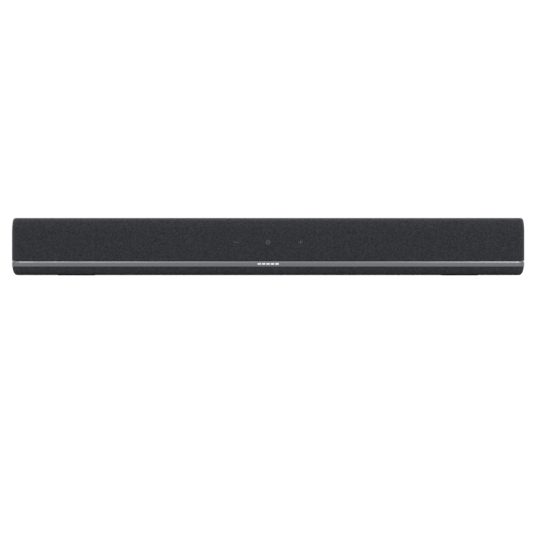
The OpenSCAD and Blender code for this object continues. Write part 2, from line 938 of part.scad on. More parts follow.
// Cone, dust cap and voice-coil former
module woofer_cone(x) {
    edge = grille_y + woofer_stroke + cone_gap;
    neck = edge + 7;
    t = 0.7;
    coil_end = cabinet_y + 19;
    color([0.2, 0.2, 0.22])
        facing_back(x, 0, driver_z)
            rotate_extrude()
                polygon(concat(
                    [[cone_edge_r, edge], [cone_edge_r, edge + t], [former_r, neck + t]],
                    [[former_r, coil_end], [former_r - 0.5, coil_end], [former_r - 0.5, neck - 0.6]],
                    [for (i = [0:arc_steps]) let (a = 90 * i / arc_steps)
                        [(former_r - 0.5) * cos(a), neck - 1 - 2.4 * sin(a)]],
                    [for (i = [arc_steps:-1:0]) let (a = 90 * i / arc_steps)
                        [(former_r + 0.3) * cos(a), neck - 1.4 - 2.6 * sin(a)]]));
}

// Front plate, magnet ring and back plate with its pole
module woofer_magnets() {
    start = cabinet_y + 16 + slip;
    pole_r = former_r - 1.1;
    hole_r = former_r + 0.6;
    color([0.25, 0.25, 0.27])
        for (x = woofer_places)
            facing_back(x, 0, driver_z)
                rotate_extrude()
                    polygon([[hole_r, start], [14, start], [14, start + 2.5], [15.5, start + 2.5],
                        [15.5, start + 10.5], [14, start + 10.5], [14, start + 13], [0, start + 13],
                        [0, start], [pole_r, start], [pole_r, start + 10.5], [hole_r, start + 10.5]]);
}

module tweeter_frame(x) {
    side = 26;
    face = driver_face - flange_t;
    dome_r = 6;
    color([0.08, 0.08, 0.09])
        difference() {
            union() {
                intersection() {
                    block([x - side / 2, face, driver_z - 17],
                        [x + side / 2, driver_face, driver_z + 17]);
                    rod(x, driver_z, face, driver_face, 17);
                }
                rod(x, driver_z, driver_face - 0.5, cabinet_y + 10, 10);
            }
            rod(x, driver_z, face - 1, driver_face + 3, dome_r + cone_gap + 0.4);
            for (k = [-1, 1])
                rod(x, driver_z + k * tweeter_ear, face - 1, driver_face + 1, screw_r);
        }
}

module tweeter_dome(x) {
    base = driver_face - 0.6;
    dome_r = 6;
    t = 0.5;
    color([0.3, 0.3, 0.32])
        facing_back(x, 0, driver_z)
            rotate_extrude()
                polygon(concat(
                    [for (i = [0:arc_steps]) let (a = 90 * i / arc_steps)
                        [dome_r * cos(a), base - 1 * sin(a)]],
                    [for (i = [arc_steps:-1:0]) let (a = 90 * i / arc_steps)
                        [(dome_r - t) * cos(a), base + t - 1 * sin(a)]],
                    [[dome_r - t, base + 1.4], [dome_r, base + 1.4]]));
}

module woofer_frame_1() { woofer_frame(woofer_places[0]); }
module woofer_frame_2() { woofer_frame(woofer_places[1]); }
module woofer_frame_3() { woofer_frame(woofer_places[2]); }
module woofer_frame_4() { woofer_frame(woofer_places[3]); }
module woofer_cone_1() { woofer_cone(woofer_places[0]); }
module woofer_cone_2() { woofer_cone(woofer_places[1]); }
module woofer_cone_3() { woofer_cone(woofer_places[2]); }
module woofer_cone_4() { woofer_cone(woofer_places[3]); }
module tweeter_frame_1() { tweeter_frame(tweeter_places[0]); }
module tweeter_frame_2() { tweeter_frame(tweeter_places[1]); }
module tweeter_dome_1() { tweeter_dome(tweeter_places[0]); }
module tweeter_dome_2() { tweeter_dome(tweeter_places[1]); }

module driver_gaskets() {
    color([0.06, 0.06, 0.06]) {
        for (x = woofer_places)
            ring(x, driver_z, driver_face + slip, cabinet_y - slip, 22.8, 20.3);
        for (x = tweeter_places)
            ring(x, driver_z, driver_face + slip, cabinet_y - slip, 12.2, 10.4);
    }
}

// One pad on each end wall and one on the back wall of each chamber
module damping_foam() {
    end_pad = [16, 64, 48];
    back_pad = [56, 12.5, 52];
    back_x = 250;
    z = 8;
    room = 0.5;
    color([0.3, 0.3, 0.32])
        for (side = [-1, 1]) {
            translate([side * (inner_x - room - end_pad[0] / 2) - end_pad[0] / 2, -34, z])
                cube(end_pad);
            translate([side * back_x - back_pad[0] / 2, back_wall_y - room - back_pad[1], z])
                cube(back_pad);
        }
}

// ---- Fasteners and cables ---------------------------------------------------------------

// Pan-head screw whose shank points along +Z and whose head lies under the origin
module screw(length, finish = [0.6, 0.6, 0.62]) {
    color(finish) {
        cylinder(r = screw_r - slip, h = length);
        translate([0, 0, -screw_head_t])
            difference() {
                cylinder(r = screw_head_r - 0.4, h = screw_head_t + slip);
                translate([0, 0, -1])
                    cylinder(r = 1.1, h = 1.8, $fn = 6);
            }
    }
}

module driver_screws() {
    length = 3.4;
    face = driver_face - flange_t - slip;
    thin = 0.62;
    for (x = woofer_places, i = [-1, 1], k = [-1, 1])
        facing_back(x + i * driver_ear, face, driver_z + k * driver_ear)
            scale(thin)
                screw(length / thin);
    for (x = tweeter_places, k = [-1, 1])
        facing_back(x, face, driver_z + k * tweeter_ear)
            scale(thin)
                screw(length / thin);
}

module baffle_screws() {
    for (x = baffle_screw_x)
        facing_back(x, cabinet_y - slip, post_z)
            screw(10);
}

module housing_screws() {
    black = [0.05, 0.05, 0.05];
    for (x = base_screw_x, y = [base_front_y, base_rear_y])
        translate([x, y, foot_lift + 1.75])
            screw(9, black);
    for (x = panel_screw_x)
        translate([x, rear_y - screw_recess + slip, post_z])
            rotate([90, 0, 0])
                screw(9, black);
}

module board_screws() {
    for (p = board_posts)
        facing_back(p[0], main_board_y - board_t - slip, p[1])
            scale(0.75)
                screw(8);
}

// Flat cable from the main board through a divider to the drivers of one side
module speaker_cable(side) {
    strip_w = 5;
    strip_t = 1.2;
    lane_y = 27;
    lane_z = 4.6;
    plug_y = main_board_y + slip;
    plug_z = 12;
    reach = woofer_x[1] + 1;
    terminal_y = cabinet_y + 29.6;
    color([0.5, 0.1, 0.1])
        mirror([side < 0 ? 1 : 0, 0, 0]) {
            block([60, plug_y, lane_z], [60 + strip_w, plug_y + strip_t, plug_z]);
            block([60, plug_y, lane_z], [60 + strip_w, lane_y + 1, lane_z + strip_t]);
            block([60, lane_y, lane_z], [reach + strip_w / 2, lane_y + strip_w, lane_z + strip_t]);
            for (x = woofer_x) {
                block([x - strip_w / 2, terminal_y, lane_z],
                    [x + strip_w / 2, lane_y + 1, lane_z + strip_t]);
                block([x - strip_w / 2, terminal_y, lane_z],
                    [x + strip_w / 2, terminal_y + strip_t, driver_z]);
            }
        }
}

module speaker_cables() {
    for (side = [-1, 1]) speaker_cable(side);
}

// Flat cable from the key board down, under the power board and up to the main board
module key_cable() {
    strip_w = 10;
    strip_t = 0.4;
    x = 26;
    down_y = key_board_y + 1.3;
    up_y = board_front - 0.6;
    color([0.85, 0.82, 0.75]) {
        block([x, down_y, 5], [x + strip_w, down_y + strip_t, key_z - 2]);
        block([x, down_y, 5], [x + strip_w, up_y + strip_t, 5 + strip_t]);
        block([x, up_y, 5], [x + strip_w, up_y + strip_t, 18]);
    }
}

fabric_cover();
lower_fabric();
grille_frame();
trim_band();
badge_marks();
base_tray();
cabinet_shell();
rear_panel();
connector_bay();
rubber_feet();
mount_inserts();
connector_panel();
ac_inlet();
ac_inlet_pins();
hdmi_socket();
optical_socket();
usb_socket();
aux_socket();
main_board();
board_chips();
board_capacitors();
heat_sink();
wireless_module();
power_board();
power_transformer();
power_capacitors();
chamber_dividers();
front_baffle();
key_guide();
key_minus();
key_source();
key_plus();
key_board();
key_switches();
status_light();
ir_receiver();
bass_port_left();
bass_port_right();
damping_foam();
driver_gaskets();
woofer_surrounds();
woofer_magnets();
woofer_frame_1();
woofer_frame_2();
woofer_frame_3();
woofer_frame_4();
woofer_cone_1();
woofer_cone_2();
woofer_cone_3();
woofer_cone_4();
tweeter_frame_1();
tweeter_frame_2();
tweeter_dome_1();
tweeter_dome_2();
driver_screws();
baffle_screws();
housing_screws();
board_screws();
speaker_cables();
key_cable();
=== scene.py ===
"""Looks of the soundbar: cloth, keys, band and materials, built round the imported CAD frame."""

import json
import math

import bmesh
import bpy
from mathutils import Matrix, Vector, noise


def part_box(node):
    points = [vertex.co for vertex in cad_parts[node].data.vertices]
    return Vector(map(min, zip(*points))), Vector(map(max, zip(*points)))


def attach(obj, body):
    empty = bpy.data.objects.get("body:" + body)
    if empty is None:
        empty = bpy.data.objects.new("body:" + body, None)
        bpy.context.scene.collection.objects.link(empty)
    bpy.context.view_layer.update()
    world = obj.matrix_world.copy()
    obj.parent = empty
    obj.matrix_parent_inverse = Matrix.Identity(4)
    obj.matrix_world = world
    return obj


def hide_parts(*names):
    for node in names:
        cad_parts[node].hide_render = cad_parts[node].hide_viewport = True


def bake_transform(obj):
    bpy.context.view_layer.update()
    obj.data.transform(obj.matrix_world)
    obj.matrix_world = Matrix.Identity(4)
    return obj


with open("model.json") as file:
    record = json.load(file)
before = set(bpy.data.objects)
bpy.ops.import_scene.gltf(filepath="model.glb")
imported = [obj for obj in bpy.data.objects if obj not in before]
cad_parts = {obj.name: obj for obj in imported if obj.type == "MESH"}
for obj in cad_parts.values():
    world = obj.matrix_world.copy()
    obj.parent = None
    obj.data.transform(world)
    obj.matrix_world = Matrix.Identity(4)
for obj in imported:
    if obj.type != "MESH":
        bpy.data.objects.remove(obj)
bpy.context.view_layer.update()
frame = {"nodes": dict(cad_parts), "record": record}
NODES = frame["nodes"]
scene = bpy.context.scene
MM = 0.001


# ---- Places and sizes ---------------------------------------------------------------------------

cover_low, cover_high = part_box("fabric_cover")
HALF_W = cover_high.x
FRONT_Y = cover_low.y
WRAP_Y = cover_high.y
TOP_Z = cover_high.z
CORNER_R = 10 * MM
LEAN_IN, LEAN_H = 2.9 * MM, 17.8 * MM          # how the cover curves in towards its top
EDGE_R = 3.8 * MM                              # rounding between that curve and the roof
SKIRT_SET_BACK, SKIRT_IN = 0.6 * MM, 6.0 * MM  # how the skirt curves in towards its hem
KEYS = {                                       # key node and the body that it moves with
    "key_minus": "minus_key",
    "key_source": "source_key",
    "key_plus": "plus_key",
}
KEY_PATCH_R = 8 * MM    # radius of the round patch of cloth over a key
KEY_SQUARE = 10 * MM    # half the side of the square of cover round that patch
KEY_CROWN = 0.1 * MM    # how far the cloth stands proud over a key
KEY_RINGS = 18          # rings of faces in a patch
RIM_STEPS = 32          # points round a patch
CLOTH_UV = "cloth_uv"   # UV layer in metres along the threads
TINY = 1e-9             # two places this close are the same
NEAR = 1e-7             # and these too, where one of them is out of a mesh


def middle(node):
    low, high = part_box(node)
    return (low + high) / 2


def islands(node):
    """Boxes of the separate solids of one CAD node, from left to right."""
    mesh = NODES[node].data
    parent = list(range(len(mesh.vertices)))

    def root(i):
        while parent[i] != i:
            parent[i] = parent[parent[i]]
            i = parent[i]
        return i

    same_place = {}
    for v in mesh.vertices:
        key = tuple(round(c * 1e5) for c in v.co)   # its place, to 0.01 mm
        parent[root(v.index)] = root(same_place.setdefault(key, v.index))
    for e in mesh.edges:
        parent[root(e.vertices[0])] = root(e.vertices[1])
    groups = {}
    for v in mesh.vertices:
        groups.setdefault(root(v.index), []).append(v.co)
    boxes = [(Vector(map(min, zip(*g))), Vector(map(max, zip(*g)))) for g in groups.values()]
    return sorted(boxes, key=lambda b: tuple(b[0]))


# ---- Node materials -----------------------------------------------------------------------------

class Shader:
    """A node material under construction; sockets go in as values or as other sockets."""

    def __init__(self, name, roughness=0.5, metallic=0.0, specular=0.5, sheen=0.0,
                 sheen_roughness=0.5, sheen_tint=(1, 1, 1), coat=0.0, transmission=0.0):
        self.material = bpy.data.materials.new(name)
        self.material.use_nodes = True
        self.tree = self.material.node_tree
        self.tree.nodes.clear()
        out = self.tree.nodes.new("ShaderNodeOutputMaterial")
        self.main = self.tree.nodes.new("ShaderNodeBsdfPrincipled")
        self.tree.links.new(self.main.outputs[0], out.inputs["Surface"])
        for socket, value in (
            ("Roughness", roughness), ("Metallic", metallic), ("Specular IOR Level", specular),
            ("Sheen Weight", sheen), ("Sheen Roughness", sheen_roughness),
            ("Sheen Tint", (*sheen_tint, 1)), ("Coat Weight", coat),
            ("Transmission Weight", transmission),
        ):
            self.main.inputs[socket].default_value = value

    def node(self, kind, inputs=(), out=0, **settings):
        n = self.tree.nodes.new("ShaderNode" + kind)
        for key, value in settings.items():
            setattr(n, key, value)
        for key, value in dict(inputs).items():
            self.feed(n.inputs[key], value)
        return n.outputs[out]

    def feed(self, socket, value):
        if isinstance(value, bpy.types.NodeSocket):
            self.tree.links.new(value, socket)
        else:
            socket.default_value = value

    def math(self, operation, a, b=0.0, clamp=False):
        return self.node("Math", {0: a, 1: b}, operation=operation, use_clamp=clamp)

    def place(self):
        return self.node("TexCoord", out=3)     # object coordinates, in metres

    def stretched(self, scale):
        return self.node("Mapping", {"Vector": self.place(), "Scale": scale})

    def noise(self, scale, detail=3.0, where=None, roughness=0.5):
        where = where or self.place()
        return self.node("TexNoise", {
            "Vector": where, "Scale": scale, "Detail": detail, "Roughness": roughness})

    def mix(self, factor, a, b):
        n = self.tree.nodes.new("ShaderNodeMix")
        n.data_type = "RGBA"
        for key, value in (("Factor", factor), ("A", a), ("B", b)):
            socket = [s for s in n.inputs if s.name == key and s.enabled][0]
            if key != "Factor" and not isinstance(value, bpy.types.NodeSocket):
                value = (*value, 1)
            self.feed(socket, value)
        return [s for s in n.outputs if s.enabled][0]

    def spread(self, value, low, high, from_low=0.0, from_high=1.0):
        return self.node("MapRange", {
            "Value": value, "From Min": from_low, "From Max": from_high,
            "To Min": low, "To Max": high})

    def colour(self, value):
        self.feed(self.main.inputs["Base Color"], value)

    def roughness(self, value):
        self.feed(self.main.inputs["Roughness"], value)

    def bump(self, height, distance, strength):
        normal = self.node("Bump", {
            "Height": height, "Distance": distance, "Strength": strength})
        self.feed(self.main.inputs["Normal"], normal)


def shade(colour, factor):
    return tuple(c * factor for c in colour)


def moulded(name, colour, rough=0.5, grain=0.25 * MM, depth=0.02 * MM, coat=0.0):
    """Moulded plastic: fine spark-eroded grain, faint handling marks and flow clouds."""
    s = Shader(name, specular=0.4, coat=coat)
    fine = s.noise(1 / grain, detail=2.0)
    cloud = s.noise(18.0, detail=4.0)
    clouded = s.spread(cloud, 0.0, 1.0, 0.3, 0.7)
    s.colour(s.mix(clouded, shade(colour, 0.88), shade(colour, 1.12)))
    rub = s.noise(60.0, detail=5.0, roughness=0.65)
    grained = s.spread(fine, -0.06, 0.06)
    s.roughness(s.math("ADD", grained, s.spread(rub, rough - 0.06, rough + 0.06)))
    s.bump(fine, depth, 0.7)
    return s.material


def rubbery(name, colour, rough=0.75, grain=0.4 * MM, depth=0.03 * MM):
    """Matt rubber with a dusty bloom in its hollows."""
    s = Shader(name, specular=0.3, sheen=0.15, sheen_roughness=0.6)
    pores = s.noise(1 / grain, detail=4.0, roughness=0.6)
    bloom = s.noise(40.0, detail=5.0)
    s.colour(s.mix(s.spread(bloom, 0.0, 1.0, 0.35, 0.75), colour, shade(colour, 1.6)))
    s.roughness(s.spread(pores, rough - 0.08, rough + 0.1))
    s.bump(pores, depth, 0.8)
    return s.material


def metallic(name, colour, rough=0.35, stretch=(1, 1, 1), scale=900.0, depth=0.008 * MM,
             spots=0.12):
    """Metal with faint tarnish, and with brushing where stretch is uneven."""
    s = Shader(name, metallic=1.0)
    brushed = s.noise(scale, detail=3.0, where=s.stretched(stretch), roughness=0.6)
    tarnish = s.noise(35.0, detail=5.0, roughness=0.6)
    streaks = s.spread(brushed, 0.0, 1.0, 0.25, 0.75)
    tone = s.mix(streaks, shade(colour, 1 - spots), shade(colour, 1 + spots))
    s.colour(s.mix(s.spread(tarnish, 0.0, 0.35, 0.45, 0.8), tone, shade(colour, 0.8)))
    grooved = s.spread(brushed, -0.07, 0.07)
    s.roughness(s.math("ADD", grooved, s.spread(tarnish, rough - 0.04, rough + 0.08)))
    s.bump(brushed, depth, 0.6)
    return s.material


def woven(name, dark, light, pitch, depth, contrast=1.0):
    """Plain weave of melange yarn: every thread and every crossing has its own tone, and the cloth
    is painted darker where the threads dip, as painted shade in the gaps.
    """
    s = Shader(name, roughness=0.92, specular=0.12, sheen=0.08, sheen_roughness=0.45,
               sheen_tint=(0.86, 0.88, 0.95))
    uv = s.node("UVMap", uv_map=CLOTH_UV)
    scaled = s.node("VectorMath", {0: uv, "Scale": 1 / pitch}, operation="SCALE")
    # threads wander a little, as knitted and woven yarn does
    wander = s.node("TexNoise", {"Vector": scaled, "Scale": 0.35, "Detail": 1.0}, out=1)
    shift = s.node("VectorMath", {0: wander, 1: (0.5, 0.5, 0.5)}, operation="SUBTRACT")
    shift = s.node("VectorMath", {0: shift, "Scale": 0.45}, operation="SCALE")
    scaled = s.node("VectorMath", {0: scaled, 1: shift}, operation="ADD")
    parts = s.node("SeparateXYZ", {0: scaled}, out=0).node
    across, along = parts.outputs[0], parts.outputs[1]
    col, row = s.math("FLOOR", across), s.math("FLOOR", along)
    hump_a = s.math("SINE", s.math("MULTIPLY", s.math("FRACT", across), math.pi))
    hump_b = s.math("SINE", s.math("MULTIPLY", s.math("FRACT", along), math.pi))
    over = s.math("FLOORED_MODULO", s.math("ADD", col, row), 2.0)
    warp = s.math("MULTIPLY", s.math("POWER", hump_a, 0.6), s.spread(hump_b, 0.3, 1.0))
    weft = s.math("MULTIPLY", s.math("POWER", hump_b, 0.6), s.spread(hump_a, 0.3, 1.0))
    warp_part = s.math("MULTIPLY", warp, s.math("SUBTRACT", 1.0, over))
    height = s.math("ADD", warp_part, s.math("MULTIPLY", weft, over))
    cell = s.node("CombineXYZ", {0: col, 1: row, 2: over})
    knot_tone = s.node("TexWhiteNoise", {"Vector": cell}, noise_dimensions="3D")
    thread_a = s.node("TexWhiteNoise", {"W": col}, noise_dimensions="1D")
    thread_b = s.node("TexWhiteNoise", {"W": s.math("ADD", row, 0.37)}, noise_dimensions="1D")
    thread = s.math("ADD", s.math("MULTIPLY", thread_a, s.math("SUBTRACT", 1.0, over)),
                    s.math("MULTIPLY", thread_b, over))
    fibre = s.node("TexNoise", {"Vector": scaled, "Scale": 7.0, "Detail": 3.0})
    drawn_out = s.node("Mapping", {"Vector": scaled, "Scale": (0.05, 0.6, 1)})
    slub = s.node("TexNoise", {"Vector": drawn_out, "Scale": 1.0, "Detail": 2.0})
    # painted shade: darker where the threads dip into the gaps between them
    tone = s.spread(height, -0.22, 0.16)
    for source, share in ((knot_tone, 1.3), (thread, 0.2), (fibre, 0.5), (slub, 0.15)):
        offset = s.math("SUBTRACT", source, 0.5)
        tone = s.math("ADD", tone, s.math("MULTIPLY", offset, share * contrast))
    s.colour(s.mix(s.math("ADD", tone, 0.5, clamp=True), dark, light))
    s.roughness(s.spread(fibre, 0.84, 1.0))
    s.bump(s.math("ADD", height, s.math("MULTIPLY", fibre, 0.25)), depth, 0.8)
    return s.material


def circuit(name, mask, copper):
    """Solder mask with copper tracks and pads showing through."""
    s = Shader(name, roughness=0.35, specular=0.5)
    where = s.place()
    lanes = s.node("TexBrick", {
        "Vector": where, "Scale": 220.0, "Mortar Size": 0.08, "Color1": (0, 0, 0, 1),
        "Color2": (0, 0, 0, 1), "Mortar": (1, 1, 1, 1)}, offset=0.37, squash=1.6)
    blocks = s.node("TexVoronoi", {"Vector": where, "Scale": 90.0}, feature="F1",
                    distance="CHEBYCHEV")
    gate = s.math("GREATER_THAN", s.noise(45.0, detail=1.0), 0.5)
    tracks = s.math("MULTIPLY", lanes, gate)
    pads = s.math("LESS_THAN", blocks, 0.13)
    shown = s.math("MAXIMUM", s.math("MULTIPLY", tracks, 0.45), pads)
    s.colour(s.mix(shown, mask, copper))
    s.roughness(s.spread(s.noise(300.0), 0.28, 0.45))
    s.bump(shown, 0.03 * MM, 0.6)
    return s.material


def wound(name, colour, pitch=0.5 * MM):
    """Enamelled winding under clear tape, its turns one above the other, with painted shade in the
    grooves between turns and their crests painted lighter.
    """
    s = Shader(name, roughness=0.3, coat=0.4)
    parts = s.node("SeparateXYZ", {0: s.place()}, out=0).node
    turns = s.math("SINE", s.math("MULTIPLY", parts.outputs["Z"], 2 * math.pi / pitch))
    # painted shade in the grooves between turns, crests painted lighter
    s.colour(s.mix(s.spread(turns, 0.0, 1.0, -1.0, 1.0), shade(colour, 0.6), shade(colour, 1.15)))
    s.roughness(s.spread(s.noise(250.0), 0.25, 0.4))
    s.bump(turns, 0.05 * MM, 0.8)
    return s.material


def paper(name, colour):
    """Pressed pulp: short fibres in all directions under a thin lacquer."""
    s = Shader(name, roughness=0.7, specular=0.3)
    fibres = s.noise(1600.0, detail=6.0, where=s.stretched((1, 0.35, 1)), roughness=0.7)
    s.colour(s.mix(s.spread(fibres, 0.0, 1.0, 0.3, 0.7), shade(colour, 0.7), shade(colour, 1.35)))
    s.roughness(s.spread(fibres, 0.6, 0.8))
    s.bump(fibres, 0.06 * MM, 0.8)
    return s.material


def porous(name, colour, pore=0.9 * MM):
    """Open-cell foam, with painted shade in its pores."""
    s = Shader(name, roughness=0.95, specular=0.2, sheen=0.2, sheen_roughness=0.6)
    cells = s.node("TexVoronoi", {"Vector": s.place(), "Scale": 1 / pore}, feature="F1")
    # painted shade: darkest at the middle of each cell, where the bump dips into a pore
    s.colour(s.mix(s.spread(cells, 0.0, 1.0, 0.1, 0.6), shade(colour, 0.45), shade(colour, 1.2)))
    s.roughness(s.spread(s.noise(900.0), 0.88, 1.0))
    s.bump(cells, 0.3 * MM, 0.9)
    return s.material


def polished(name, colour, rough=0.12, transmission=0.0):
    """Clear or tinted polished plastic with faint moulding ripples."""
    s = Shader(name, specular=0.5, transmission=transmission)
    ripple = s.noise(120.0, detail=2.0)
    s.colour(s.mix(s.spread(ripple, 0.0, 1.0, 0.3, 0.7), shade(colour, 0.9), shade(colour, 1.1)))
    s.roughness(s.spread(s.noise(500.0), rough * 0.7, rough * 1.4))
    s.bump(ripple, 0.02 * MM, 0.4)
    return s.material


CLOTH = woven("cloth", (0.0078, 0.0081, 0.0095), (0.0218, 0.0225, 0.0269), 0.85 * MM, 0.12 * MM)
# The skirt's cloth is the cover's cloth painted lighter, to make up for the shade it gets under
# the band: painted light.
SKIRT_CLOTH_PAINTED_LIGHTER = woven("skirt_cloth_painted_lighter", (0.0113, 0.0115, 0.0131), (0.0286, 0.0293, 0.0344),
                    0.85 * MM, 0.12 * MM)
CLOTH_MARK = woven("key_mark", (0.047, 0.048, 0.052), (0.074, 0.076, 0.081),
                   0.9 * MM, 0.1 * MM, contrast=0.5)
ALONG = (0.003, 0.003, 1)     # brushing that runs round the bar
FINISHES = {
    "band_metal": metallic("band_metal", (0.141, 0.145, 0.156), rough=0.33, stretch=ALONG,
                           scale=800.0, depth=0.0005 * MM, spots=0.04),
    "badge": moulded("badge", (0.5, 0.51, 0.53), rough=0.4, grain=0.15 * MM, depth=0.005 * MM),
    "shell_plastic": moulded("shell_plastic", (0.018, 0.018, 0.02), rough=0.5, grain=0.3 * MM,
                             depth=0.03 * MM),
    "grille_plastic": moulded("grille_plastic", (0.022, 0.022, 0.024), rough=0.55),
    "bay_panel": moulded("bay_panel", (0.035, 0.035, 0.038), rough=0.6, grain=0.5 * MM,
                         depth=0.04 * MM),
    "foot_rubber": rubbery("foot_rubber", (0.022, 0.022, 0.022)),
    "insert_brass": metallic("insert_brass", (0.62, 0.47, 0.22), rough=0.3, stretch=(1, 0.03, 1),
                             scale=1500.0),
    "socket_plastic": moulded("socket_plastic", (0.018, 0.018, 0.019), rough=0.42, grain=0.2 * MM,
                              depth=0.01 * MM),
    "socket_steel": metallic("socket_steel", (0.55, 0.56, 0.57), rough=0.28, stretch=(1, 0.05, 1)),
    "circuit_board": circuit("circuit_board", (0.012, 0.09, 0.04), (0.35, 0.27, 0.1)),
    "power_circuit_board": circuit("power_circuit_board", (0.3, 0.2, 0.08), (0.5, 0.45, 0.38)),
    "chip_plastic": moulded("chip_plastic", (0.02, 0.02, 0.02), rough=0.45, grain=0.15 * MM),
    "capacitor_sleeve": moulded("capacitor_sleeve", (0.03, 0.035, 0.06), rough=0.22, coat=0.4,
                                grain=0.6 * MM, depth=0.01 * MM),
    "heat_sink_metal": metallic("heat_sink_metal", (0.68, 0.69, 0.71), rough=0.4,
                                stretch=(1, 1, 0.03)),
    "shield_steel": metallic("shield_steel", (0.62, 0.63, 0.64), rough=0.3),
    "winding": wound("winding", (0.62, 0.47, 0.08)),
    "baffle_plastic": moulded("baffle_plastic", (0.045, 0.045, 0.048), rough=0.55),
    "key_plastic": moulded("key_plastic", (0.03, 0.03, 0.032), rough=0.45),
    "switch_body": metallic("switch_body", (0.55, 0.55, 0.56), rough=0.35),
    "light_pipe": polished("light_pipe", (0.8, 0.81, 0.82), transmission=0.6),
    "ir_lens": polished("ir_lens", (0.05, 0.006, 0.01), rough=0.08),
    "foam": porous("foam", (0.13, 0.13, 0.135)),
    "gasket_rubber": rubbery("gasket_rubber", (0.02, 0.02, 0.02), grain=0.6 * MM, depth=0.08 * MM),
    "surround_rubber": rubbery("surround_rubber", (0.016, 0.016, 0.017), rough=0.55),
    "magnet_ferrite": metallic("magnet_ferrite", (0.12, 0.12, 0.125), rough=0.6, scale=500.0),
    "driver_frame_metal": moulded("driver_frame_metal", (0.025, 0.025, 0.027), rough=0.4,
                                  grain=0.7 * MM, depth=0.03 * MM),
    "cone_paper": paper("cone_paper", (0.05, 0.05, 0.053)),
    "dome_silk": paper("dome_silk", (0.06, 0.06, 0.065)),
    "screw_steel": metallic("screw_steel", (0.45, 0.45, 0.47), rough=0.35),
    "screw_black": metallic("screw_black", (0.045, 0.045, 0.048), rough=0.4),
    "cable_sleeve": moulded("cable_sleeve", (0.3, 0.03, 0.03), rough=0.5, grain=0.5 * MM),
    "ribbon": moulded("ribbon", (0.72, 0.7, 0.64), rough=0.4, grain=0.4 * MM, depth=0.01 * MM),
}

CAD_SLOTS = {part["node"]: part["material_slot"] for part in frame["record"]["subparts"]}
for node, obj in NODES.items():
    look = FINISHES.get(CAD_SLOTS[node])    # none for the two cloths, which are replaced below
    if look:
        obj.data.materials.clear()
        obj.data.materials.append(look)


# ---- Mesh helpers -------------------------------------------------------------------------------

def piece(name, bm, material, body=None, smooth=True):
    mesh = bpy.data.meshes.new(name)
    bmesh.ops.recalc_face_normals(bm, faces=bm.faces[:])
    bm.to_mesh(mesh)
    bm.free()
    obj = bpy.data.objects.new(name, mesh)
    scene.collection.objects.link(obj)
    mesh.materials.append(material)
    mesh.polygons.foreach_set("use_smooth", [smooth] * len(mesh.polygons))
    if body:
        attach(obj, body)
    return obj


def face_front(obj, counts=lambda place: True):
    """Turns the whole surface over if the faces at the places that count look backwards."""
    forwards = sum(-p.area * p.normal.y for p in obj.data.polygons if counts(p.center))
    if forwards < 0:
        obj.data.flip_normals()


def spaced(a, b, step):
    """Points from a to b with about that step, both ends included."""
    n = max(1, round(abs(b - a) / step))
    return [a + (b - a) * i / n for i in range(n + 1)]


def quarter_turn(steps):
    """Angles from 0 to 90 degrees, both included."""
    return [math.pi / 2 * i / steps for i in range(steps + 1)]


def distances(path):
    """How far along the path each of its points lies."""
    along = [0.0]
    for a, b in zip(path, path[1:]):
        along.append(along[-1] + math.dist(a, b))
    return along


def stitch(bm, rows, closed=False):
    """Quads between neighbouring rows of vertices, which are closed rings or open lines."""
    faces = []
    for a, b in zip(rows, rows[1:]):
        for i in range(len(a) if closed else len(a) - 1):
            n = (i + 1) % len(a)
            faces.append(bm.faces.new([a[i], a[n], b[n], b[i]]))
    return faces


def weld(bm, dist):
    """Joins vertices closer than that, and takes out what then has no size."""
    bmesh.ops.remove_doubles(bm, verts=bm.verts[:], dist=dist)
    bmesh.ops.dissolve_degenerate(bm, edges=bm.edges[:], dist=dist / 10)


def lay_weave(faces, uv):
    """Lays the weave on faces of the front, so that its threads follow x and z."""
    for face in faces:
        for loop in face.loops:
            loop[uv].uv = (loop.vert.co.x, loop.vert.co.z)


# ---- Plan of the bar: columns of a surface that wraps front, corners and ends -------------------

FORWARD = (0, -1)
CORNER_STEPS = 12


def plan_columns(xs, ys):
    """(centre x, centre y, outward direction, distance along the bar) for each column.

    The columns run from the rear of the left end round the front to the rear of the right end.
    A point of the surface is the centre plus the direction times its radius."""
    cx, cy = HALF_W - CORNER_R, FRONT_Y + CORNER_R
    reach = cx + CORNER_R * math.pi / 2
    left = [(-cx, y, (-1, 0), -reach - (y - cy)) for y in reversed(ys)]
    corner = [
        (-cx, cy, (-math.cos(a), -math.sin(a)), -cx - CORNER_R * (math.pi / 2 - a))
        for a in quarter_turn(CORNER_STEPS)[1:-1]]
    front = [(x, cy, FORWARD, x) for x in xs]
    mirrored = [(-x, y, (-d[0], d[1]), -s) for x, y, d, s in reversed(left + corner)]
    return left + corner + front + mirrored


def lay_grid(bm, uv, rows, columns, skip=lambda i, j: False, roof=None):
    """Quads between profile rows (inset, z, v) and plan columns; returns the vertices by row.

    roof is the inset past which the cloth is cut on, so its weave follows x and y there."""
    verts = []
    for inset, z, v in rows:
        r = CORNER_R - inset
        line = []
        for x, y, d, s in columns:
            line.append((bm.verts.new((x + d[0] * r, y + d[1] * r, z)), s, v))
        verts.append(line)
    for j in range(len(rows) - 1):
        for i in range(len(columns) - 1):
            if skip(i, j):
                continue
            ring = [verts[j][i], verts[j][i + 1], verts[j + 1][i + 1], verts[j + 1][i]]
            face = bm.faces.new([p[0] for p in ring])
            flat = roof is not None and min(rows[j][0], rows[j + 1][0]) >= roof - TINY
            for loop, (vert, s, v) in zip(face.loops, ring):
                loop[uv].uv = (s, v) if not flat else (vert.co.x, roof_v(vert.co.y))
    return [[p[0] for p in line] for line in verts]


# ---- The cloth cover ----------------------------------------------------------------------------

